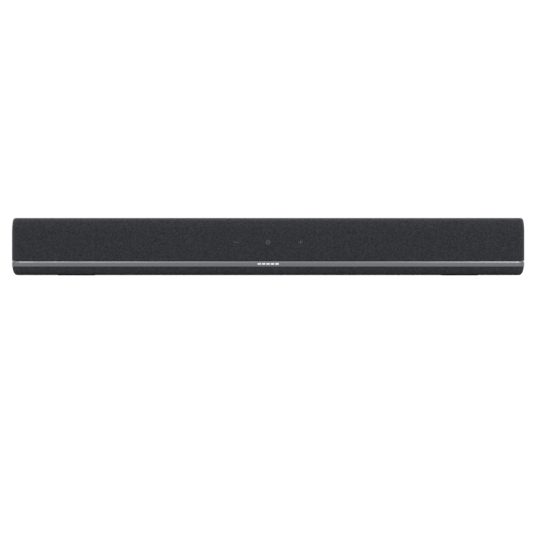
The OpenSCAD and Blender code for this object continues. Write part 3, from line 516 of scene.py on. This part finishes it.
LEAN_STEPS = 14
EDGE_STEPS = 6
HEM_Z = cover_low.z - 0.08 * MM             # the hem turns under the grille's lower edge
HEM_R, HEM_STEPS = 0.45 * MM, 4
HEM_INSETS = (2.2 * MM, 1.2 * MM)           # the hem's hidden part, from its cut edge outwards
FINE_STEP, COARSE_STEP = 2.5 * MM, 10 * MM  # columns near a key and elsewhere on the front
END_STEP = 9 * MM                           # columns on the ends
WALL_STEP, ROOF_STEP = 5 * MM, 2 * MM       # rows below the keys and at the roof's border
LIP_R, LIP_STEPS = 0.3 * MM, 3              # round lip of the cloth at the rear panel
COVER_LIP, SKIRT_LIP = 0.65 * MM, 0.6 * MM  # how far the cloth goes in behind that lip
HOLE_SHARES = (0.4, 0.75, 1.0)              # rings of points from a key's square to its hole
COVER_WELD, MARK_WELD = 1e-6, 1e-7          # how close vertices have to be to be joined
key_places = {node: middle(node) for node in KEYS}
KEY_Z = key_places["key_source"].z
EDGE_Y = WRAP_Y - LIP_R                     # where the rear edge starts to turn in


def edge_start():
    """Where a circle of EDGE_R meets both the lean's ellipse and the roof: angle and slope."""
    low, high = 0.0, math.pi / 2
    for _ in range(40):
        t = (low + high) / 2
        slope = math.atan2(LEAN_IN * math.sin(t), LEAN_H * math.cos(t))
        if LEAN_H * (1 - math.sin(t)) > EDGE_R * (1 - math.sin(slope)):
            low = t
        else:
            high = t
    return t, slope


LEAN_END, EDGE_SLOPE = edge_start()
ROOF_IN = LEAN_IN * (1 - math.cos(LEAN_END)) + EDGE_R * math.cos(EDGE_SLOPE)


def lean_path():
    """(inset, z) up the lean and round the edge to the roof."""
    turns = [LEAN_END * i / LEAN_STEPS for i in range(LEAN_STEPS + 1)]
    lean = [(LEAN_IN * (1 - math.cos(t)), TOP_Z - LEAN_H * (1 - math.sin(t))) for t in turns]
    left = math.pi / 2 - EDGE_SLOPE
    slopes = [EDGE_SLOPE + left * i / EDGE_STEPS for i in range(1, EDGE_STEPS + 1)]
    edge = [(ROOF_IN - EDGE_R * math.cos(a), TOP_Z - EDGE_R * (1 - math.sin(a))) for a in slopes]
    return lean + edge


def cover_profile():
    """(inset, z, distance along the cloth) from the hidden hem up to the roof's corner line."""
    hem = [(inset, HEM_Z) for inset in HEM_INSETS]
    bend = [
        (HEM_R * (1 - math.sin(a)), HEM_Z + HEM_R * (1 - math.cos(a)))
        for a in quarter_turn(HEM_STEPS)]
    low, high = KEY_Z - KEY_SQUARE, KEY_Z + KEY_SQUARE
    wall = [(0.0, z) for z in spaced(HEM_Z + 2 * HEM_R, low, WALL_STEP)[:-1]]
    wall += [(0.0, z) for z in spaced(low, high, FINE_STEP)]
    roof = [(u, TOP_Z) for u in spaced(ROOF_IN, CORNER_R, ROOF_STEP)[1:]]
    path = hem + bend + wall + lean_path() + roof
    along = distances(path)
    start = next(v for (u, z), v in zip(path, along) if abs(z - low) < TINY)
    return [(u, z, v - start + low) for (u, z), v in zip(path, along)]


cover_rows = cover_profile()
ROOF_V = next(v for u, z, v in cover_rows if abs(u - ROOF_IN) < TINY and z > TOP_Z - TINY)


def roof_v(y):
    return ROOF_V + (y - FRONT_Y - ROOF_IN)


def cover_columns():
    """x of the columns across the front, and y of those on the ends."""
    marks = []
    for p in sorted(key_places.values(), key=lambda p: p.x):
        marks += [p.x - KEY_SQUARE, p.x + KEY_SQUARE]
    ends = [-HALF_W + CORNER_R, *marks, HALF_W - CORNER_R]
    xs = []
    for k in range(len(ends) - 1):
        step = FINE_STEP if k % 2 else COARSE_STEP
        xs += spaced(ends[k], ends[k + 1], step)[:-1]
    xs.append(ends[-1])
    ys = spaced(FRONT_Y + CORNER_R, EDGE_Y, END_STEP)
    return xs, ys


def tuck(bm, uv, edge, inwards, distance):
    """Turns an open edge that faces the rear panel inwards, so that the cloth has a round lip.

    edge is a row of vertices and inwards gives the direction towards the cabinet at each."""
    lines = [edge]
    for a in quarter_turn(LIP_STEPS)[1:]:
        back = Vector((0, LIP_R * math.sin(a), 0))
        lines.append([
            bm.verts.new(v.co + d * LIP_R * (1 - math.cos(a)) + back)
            for v, d in zip(edge, inwards)])
    back = Vector((0, LIP_R, 0))
    lines.append([bm.verts.new(v.co + d * distance + back) for v, d in zip(edge, inwards)])
    for k in range(len(lines) - 1):
        for i in range(len(edge) - 1):
            corners = ((i, k), (i + 1, k), (i + 1, k + 1), (i, k + 1))
            face = bm.faces.new([lines[m][n] for n, m in corners])
            for loop, (n, m) in zip(face.loops, corners):
                at = edge[n].co
                loop[uv].uv = (at.x + at.z, at.y + m * LIP_R)


def around(centre, k):
    """Point k of those on the rim of a key's hole; k 0 is at the lower left of the square."""
    a = -3 * math.pi / 4 + 2 * math.pi * k / RIM_STEPS
    x, z = centre.x + KEY_PATCH_R * math.cos(a), centre.z + KEY_PATCH_R * math.sin(a)
    return Vector((x, FRONT_Y, z))


def ring_to_hole(bm, uv, square, centre):
    """Fills the cover between the grid's vertices on a square and the round hole over a key."""
    loops = [square]
    for share in HOLE_SHARES:
        loops.append([
            bm.verts.new(square[k].co.lerp(around(centre, k), share)) for k in range(RIM_STEPS)])
    lay_weave(stitch(bm, loops, closed=True), uv)


def open_over_key(bm, uv, grid, columns, centre):
    """Makes the round hole over one key; returns the grid's unused vertices in its square."""
    js = [
        j for j, row in enumerate(cover_rows)
        if row[0] == 0 and abs(row[1] - centre.z) < KEY_SQUARE + NEAR]
    cs = [
        i for i, c in enumerate(columns)
        if c[2] == FORWARD and abs(c[0] - centre.x) < KEY_SQUARE + NEAR]
    low, high, left, right = js[0], js[-1], cs[0], cs[-1]
    square = [grid[low][i] for i in cs[:-1]]
    square += [grid[j][right] for j in js[:-1]]
    square += [grid[high][i] for i in reversed(cs[1:])]
    square += [grid[j][left] for j in reversed(js[1:])]
    ring_to_hole(bm, uv, square, centre)
    return [grid[j][i] for j in js[1:-1] for i in cs[1:-1]]


def lay_roof(bm, uv, line, columns, xs, ys):
    """Roof between the inner line of front and ends, and the rear; returns its rows."""
    first = next(i for i, c in enumerate(columns) if c[2] == FORWARD)
    left = line[:len(ys)][::-1]
    right = line[-len(ys):]
    rows = [line[first:first + len(xs)]]
    for k in range(1, len(ys)):
        between = [bm.verts.new((x, ys[k], TOP_Z)) for x in xs[1:-1]]
        rows.append([left[k], *between, right[k]])
    for face in stitch(bm, rows):
        for loop in face.loops:
            loop[uv].uv = (loop.vert.co.x, roof_v(loop.vert.co.y))
    return rows


def tuck_cover(bm, uv, grid, roof_edge):
    """Turns in the cover's rear edge: up the left end, over the roof, down the right end."""
    up = [j for j, row in enumerate(cover_rows) if row[1] > HEM_Z + HEM_R or row[0] == 0]

    def inward(j, side):
        below, above = cover_rows[max(j - 1, up[0])], cover_rows[min(j + 1, up[-1])]
        du, dz = above[0] - below[0], above[1] - below[1]
        return Vector((-side * dz, 0, -du)).normalized()

    edge = [grid[j][0] for j in up] + roof_edge + [grid[j][-1] for j in reversed(up)]
    inwards = [inward(j, -1) for j in up]
    inwards += [Vector((0, 0, -1))] * len(roof_edge)
    inwards += [inward(j, 1) for j in reversed(up)]
    tuck(bm, uv, edge, inwards, COVER_LIP)


def make_cover():
    bm = bmesh.new()
    uv = bm.loops.layers.uv.new(CLOTH_UV)
    xs, ys = cover_columns()
    columns = plan_columns(xs, ys)
    rows = cover_rows

    def over_key(i, j):
        a, b = columns[i], columns[i + 1]
        if a[2] != FORWARD or b[2] != FORWARD:
            return False
        x, z = (a[0] + b[0]) / 2, (rows[j][1] + rows[j + 1][1]) / 2
        on_wall = rows[j][0] == 0 and rows[j + 1][0] == 0
        return on_wall and any(
            abs(x - p.x) < KEY_SQUARE and abs(z - p.z) < KEY_SQUARE for p in key_places.values())

    grid = lay_grid(bm, uv, rows, columns, over_key, roof=ROOF_IN)
    unused = []
    for centre in key_places.values():
        unused += open_over_key(bm, uv, grid, columns, centre)
    roof_rows = lay_roof(bm, uv, grid[-1], columns, xs, ys)
    tuck_cover(bm, uv, grid, roof_rows[-1][1:-1])
    bmesh.ops.delete(bm, geom=unused, context="VERTS")
    weld(bm, COVER_WELD)
    obj = piece("cloth_sleeve", bm, CLOTH, "cabinet")
    face_front(obj, lambda place: place.y < FRONT_Y + MM)
    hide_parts("fabric_cover")


def crown(r):
    """How far the cloth stands proud at that distance from a key's axis."""
    return KEY_CROWN * max(0.0, 1 - (r / KEY_PATCH_R) ** 2) ** 2


def make_key_cloth(node):
    """Round patch of the cover's cloth over one key."""
    centre = key_places[node]
    bm = bmesh.new()
    uv = bm.loops.layers.uv.new(CLOTH_UV)
    level = Vector((centre.x, FRONT_Y, centre.z))
    rim = [around(centre, k) for k in range(RIM_STEPS)]
    loops = []
    for share in [1 - k / KEY_RINGS for k in range(KEY_RINGS)]:
        proud = Vector((0, crown(KEY_PATCH_R * share), 0))
        loops.append([bm.verts.new(level.lerp(p, share) - proud) for p in rim])
    tip = bm.verts.new((centre.x, FRONT_Y - crown(0), centre.z))
    stitch(bm, loops, closed=True)
    for k in range(RIM_STEPS):
        bm.faces.new([loops[-1][k], loops[-1][(k + 1) % RIM_STEPS], tip])
    lay_weave(bm.faces, uv)
    obj = piece("cloth_" + node, bm, CLOTH)
    face_front(obj)
    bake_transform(obj)


# ---- Marks over the keys ------------------------------------------------------------------------

MARK_PROUD = 0.03 * MM                      # how far a mark stands proud of the cloth
MARK_HALF = 3.1 * MM                        # half the length of a bar
MARK_LINE = 0.36 * MM                       # half the width of a bar
UPRIGHT_HALF = 1.05 * MM                    # half the length of each half of a plus's upright
RING_R, RING_LINE = 2.5 * MM, 0.32 * MM     # middle radius, and half the width of its line
DOT_R, DOT_LINE = 0.42 * MM, 0.4 * MM       # the dot is a ring too, with a pinhole
BAR_STEPS, UPRIGHT_STEPS = 24, 10
RING_TURNS, DOT_TURNS = 48, 24
SIDES = 6                                   # faces across a line


def mark_vert(bm, centre, x, z):
    """Vertex of a mark at x, z from the key's axis, laid on the crown of the cloth."""
    y = FRONT_Y - crown(math.hypot(x, z)) - MARK_PROUD
    return bm.verts.new((centre.x + x, y, centre.z + z))


def narrowed(half_line, past):
    """Half the width of a line with a round end, that far past the start of the rounding."""
    return math.sqrt(max(0.0, half_line ** 2 - max(0.0, past) ** 2))


def mark_bar(bm, centre):
    """Printed bar with rounded ends."""
    rows = []
    for i in range(BAR_STEPS + 1):
        x = -MARK_HALF + 2 * MARK_HALF * i / BAR_STEPS
        wide = narrowed(MARK_LINE, abs(x) - (MARK_HALF - MARK_LINE))
        rows.append([
            mark_vert(bm, centre, x, wide * (2 * j / SIDES - 1)) for j in range(SIDES + 1)])
    stitch(bm, rows)


def mark_upright(bm, centre, side):
    """Half of the plus sign's upright, above or below its crossbar and edge to edge with it."""
    middle_z = side * (MARK_LINE + UPRIGHT_HALF)
    rows = []
    for i in range(UPRIGHT_STEPS + 1):
        t = -UPRIGHT_HALF + 2 * UPRIGHT_HALF * i / UPRIGHT_STEPS
        wide = narrowed(MARK_LINE, t * side - (UPRIGHT_HALF - MARK_LINE))
        rows.append([
            mark_vert(bm, centre, wide * (2 * j / SIDES - 1), middle_z + t)
            for j in range(SIDES + 1)])
    stitch(bm, rows)


def mark_ring(bm, centre, radius, half_line, turns):
    loops = []
    for j in range(SIDES + 1):
        r = radius - half_line + 2 * half_line * j / SIDES
        loops.append([
            mark_vert(bm, centre, r * math.cos(a), r * math.sin(a))
            for a in [2 * math.pi * i / turns for i in range(turns)]])
    stitch(bm, loops, closed=True)


def draw_plus(bm, centre):
    mark_bar(bm, centre)
    mark_upright(bm, centre, -1)
    mark_upright(bm, centre, 1)


def draw_ring(bm, centre):
    mark_ring(bm, centre, RING_R, RING_LINE, RING_TURNS)
    mark_ring(bm, centre, DOT_R, DOT_LINE, DOT_TURNS)


def make_mark(name, node, draw):
    centre = key_places[node]
    bm = bmesh.new()
    uv = bm.loops.layers.uv.new(CLOTH_UV)
    draw(bm, centre)
    weld(bm, MARK_WELD)
    lay_weave(bm.faces, uv)
    obj = piece(name, bm, CLOTH_MARK)
    face_front(obj)
    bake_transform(obj)


# ---- Skirt under the band -----------------------------------------------------------------------

SKIRT_STEPS = 12
SKIRT_GAP = 0.05 * MM       # between the band and the strip
# (inset, rise) of the strip's end under the base
UNDER_BASE = ((7.6 * MM, 0.0), (8.8 * MM, 0.0), (9.3 * MM, 0.15 * MM))


def make_skirt():
    """Strip of cloth from just under the band to under the base."""
    top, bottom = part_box("trim_band")[0].z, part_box("lower_fabric")[0].z
    path = [(SKIRT_SET_BACK, top - SKIRT_GAP)]
    for t in quarter_turn(SKIRT_STEPS)[1:]:
        path.append((SKIRT_SET_BACK + SKIRT_IN * (1 - math.cos(t)),
                     top - (top - bottom) * math.sin(t)))
    path += [(inset, bottom + rise) for inset, rise in UNDER_BASE]
    along = distances(path)
    bm = bmesh.new()
    uv = bm.loops.layers.uv.new(CLOTH_UV)
    columns = plan_columns(*cover_columns())
    grid = lay_grid(bm, uv, [(u, z, -v) for (u, z), v in zip(path, along)], columns)
    for side, column in ((-1, 0), (1, -1)):
        edge = [line[column] for line in grid[:-1]]
        inwards = []
        for u, _ in path[:-1]:
            t = math.acos(1 - min(1.0, max(0.0, (u - SKIRT_SET_BACK) / SKIRT_IN)))
            inwards.append(Vector((-side * math.cos(t), 0, math.sin(t))).normalized())
        tuck(bm, uv, edge, inwards, SKIRT_LIP)
    # cloth painted lighter than the cover's, standing in for the light the skirt lacks under the
    # band
    obj = piece("cloth_skirt", bm, SKIRT_CLOTH_PAINTED_LIGHTER, "cabinet")
    face_front(obj, lambda place: abs(place.x) < HALF_W / 2)
    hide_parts("lower_fabric")


# ---- Row of plain pills on the band -------------------------------------------------------------

PILL_ROUND = 0.72           # corner radius, as a share of half the height
PILL_EDGE = 0.12 * MM       # rounding of the front edge
PILL_EDGE_MID = 0.3         # where the middle of that rounding lies, as a share of it
PILL_STEPS = 6


def make_pills():
    bm = bmesh.new()
    mid = PILL_EDGE * PILL_EDGE_MID
    for low, high in islands("badge_marks"):
        c = (low + high) / 2
        half_x, half_z = (high.x - low.x) / 2, (high.z - low.z) / 2
        r = PILL_ROUND * half_z
        outline = []
        for quadrant, (side_x, side_z) in enumerate(((1, 1), (-1, 1), (-1, -1), (1, -1))):
            for i in range(PILL_STEPS + 1):
                a = math.pi / 2 * (quadrant + i / PILL_STEPS)
                outline.append((c.x + side_x * (half_x - r) + r * math.cos(a),
                                c.z + side_z * (half_z - r) + r * math.sin(a)))
        loops = []
        for inset, y in ((0, high.y), (0, low.y + PILL_EDGE), (mid, low.y + mid),
                         (PILL_EDGE, low.y)):
            scale_x, scale_z = 1 - inset / half_x, 1 - inset / half_z
            loops.append([
                bm.verts.new((c.x + (x - c.x) * scale_x, y, c.z + (z - c.z) * scale_z))
                for x, z in outline])
        stitch(bm, loops, closed=True)
        bm.faces.new(loops[-1])
        bm.faces.new(loops[0][::-1])
    obj = piece("badge_pills", bm, FINISHES["badge"], "cabinet", smooth=False)
    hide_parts("badge_marks")


# ---- Damping foam -------------------------------------------------------------------------------

FOAM_STEP = 3 * MM
FOAM_WAVE = 14 * MM     # from one bump of the egg crate to the next
FOAM_MEAN, FOAM_BUMP, FOAM_ROUGH = 0.74, 0.26, 0.02     # shares of a pad's thickness
FOAM_GRAIN = 300        # scale of the roughness, per metre


def make_foam_pad(number, low, high):
    """Egg-crate pad in one CAD box, with its bumps towards the middle of the chamber."""
    thin_x = high.x - low.x < high.y - low.y
    thin, wide = (0, 1) if thin_x else (1, 0)
    inward = 1 if thin_x and low.x + high.x <= 0 else -1
    back = high[thin] if inward < 0 else low[thin]
    deep = high[thin] - low[thin]
    wave = 2 * math.pi / FOAM_WAVE
    us, vs = spaced(low[wide], high[wide], FOAM_STEP), spaced(low.z, high.z, FOAM_STEP)
    bm = bmesh.new()

    def point(u, v, depth):
        p = Vector((0, 0, v))
        p[wide] = u
        p[thin] = back + inward * depth
        return bm.verts.new(p)

    def height(u, v):
        bumps = math.sin(wave * (u - low[wide])) * math.sin(wave * (v - low.z))
        rough = noise.noise(Vector((u, v, number)) * FOAM_GRAIN)
        return deep * (FOAM_MEAN + FOAM_BUMP * bumps - FOAM_ROUGH * rough)

    top = [[point(u, v, height(u, v)) for u in us] for v in vs]
    base = [[point(u, v, 0) for u in us] for v in vs]
    stitch(bm, top)
    stitch(bm, base)
    last_i, last_j = len(us) - 1, len(vs) - 1
    rim = [(0, i) for i in range(last_i)]
    rim += [(j, last_i) for j in range(last_j)]
    rim += [(last_j, i) for i in range(last_i, 0, -1)]
    rim += [(j, 0) for j in range(last_j, 0, -1)]
    walls = [[sheet[j][i] for j, i in rim] for sheet in (top, base)]
    stitch(bm, walls, closed=True)
    obj = piece(f"foam_pad_{number}", bm, FINISHES["foam"], "cabinet", smooth=False)
    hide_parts("damping_foam")


# ---- Build --------------------------------------------------------------------------------------

make_cover()
for node, body in KEYS.items():
    make_key_cloth(node)
make_mark("mark_minus", "key_minus", mark_bar)
make_mark("mark_ring", "key_source", draw_ring)
make_mark("mark_plus", "key_plus", draw_plus)
make_skirt()
make_pills()
for number, (low, high) in enumerate(islands("damping_foam"), 1):
    make_foam_pad(number, low, high)


# ---- Studio -------------------------------------------------------------------------------------

FLOOR_SIZE = 60                     # metres
FILL = ("fill_left", (-0.75, -0.8, 0.2), (0.5, 0.4), 1.2)      # name, place, size, watts
FILL_AIM = (-0.2, 0, 0.03)
SOFTBOXES = (
    ("softbox_left", (-0.36, -1.0, 0.62), (0.3, 0.3), 1.5),
    ("softbox_left_end", (-1.05, -0.85, 0.72), (0.5, 0.2), 1.4),
    ("softbox_left_side", (-1.5, -0.35, 0.78), (0.6, 0.2), 1.6),
    ("softbox_right", (0.54, -1.0, 0.62), (0.3, 0.3), 3.5),
    ("softbox_right_end", (1.05, -0.85, 0.72), (0.5, 0.2), 2.6),
    ("softbox_right_side", (1.5, -0.35, 0.78), (0.6, 0.2), 3.0),
)
SOFTBOX_AIM = (0, 0, 0.03)
SUN_STRENGTH = 3.0 * math.pi        # straight down: three times what the sky gives the floor
SUN_ANGLE = math.radians(40)        # wide, for soft shadows
CAMERA_PLACE = (-0.0008, -5.05, 0.0102)
CAMERA_LENS, SENSOR = 265.7, 36     # mm
CLIP = (0.1, 500)                   # metres


def make_stage():
    bm = bmesh.new()
    bmesh.ops.create_grid(bm, x_segments=4, y_segments=4, size=FLOOR_SIZE)
    mesh = bpy.data.meshes.new("floor")
    bm.to_mesh(mesh)
    bm.free()
    floor = bpy.data.objects.new("floor", mesh)
    scene.collection.objects.link(floor)
    s = Shader("floor_paint", roughness=0.9, specular=0.0)
    s.colour(s.mix(s.noise(0.6), (0.285, 0.285, 0.287), (0.295, 0.295, 0.297)))
    mesh.materials.append(s.material)


def softbox(name, place, size, power, aim):
    light = bpy.data.lights.new(name, "AREA")
    light.shape = "RECTANGLE"
    light.size, light.size_y = size
    light.energy = power
    obj = bpy.data.objects.new(name, light)
    scene.collection.objects.link(obj)
    obj.location = place
    way = Vector(aim) - Vector(place)
    obj.rotation_euler = way.to_track_quat("-Z", "Y").to_euler()
    obj.visible_camera = False
    return obj


def make_light():
    world = bpy.data.worlds.new("studio")
    scene.world = world
    world.use_nodes = True
    sky = world.node_tree.nodes["Background"]
    sky.inputs["Color"].default_value = (1.0, 1.0, 1.0, 1)
    sky.inputs["Strength"].default_value = 1.0
    sun = bpy.data.lights.new("overhead", "SUN")
    sun.energy = SUN_STRENGTH
    sun.angle = SUN_ANGLE
    obj = bpy.data.objects.new("overhead", sun)
    scene.collection.objects.link(obj)
    fill = softbox(*FILL, FILL_AIM)
    fill.visible_glossy = False     # it would show as a bright stripe on the band's corner
    for row in SOFTBOXES:
        softbox(*row, SOFTBOX_AIM)


def make_camera():
    camera = bpy.data.cameras.new("camera")
    camera.lens = CAMERA_LENS
    camera.sensor_width = SENSOR
    camera.clip_start, camera.clip_end = CLIP
    obj = bpy.data.objects.new("camera", camera)
    scene.collection.objects.link(obj)
    obj.location = CAMERA_PLACE
    obj.rotation_euler = (math.pi / 2, 0, 0)
    scene.camera = obj


make_stage()
make_light()
make_camera()
scene.view_settings.view_transform = "Standard"
scene.view_settings.look = "None"

bpy.context.view_layer.update()
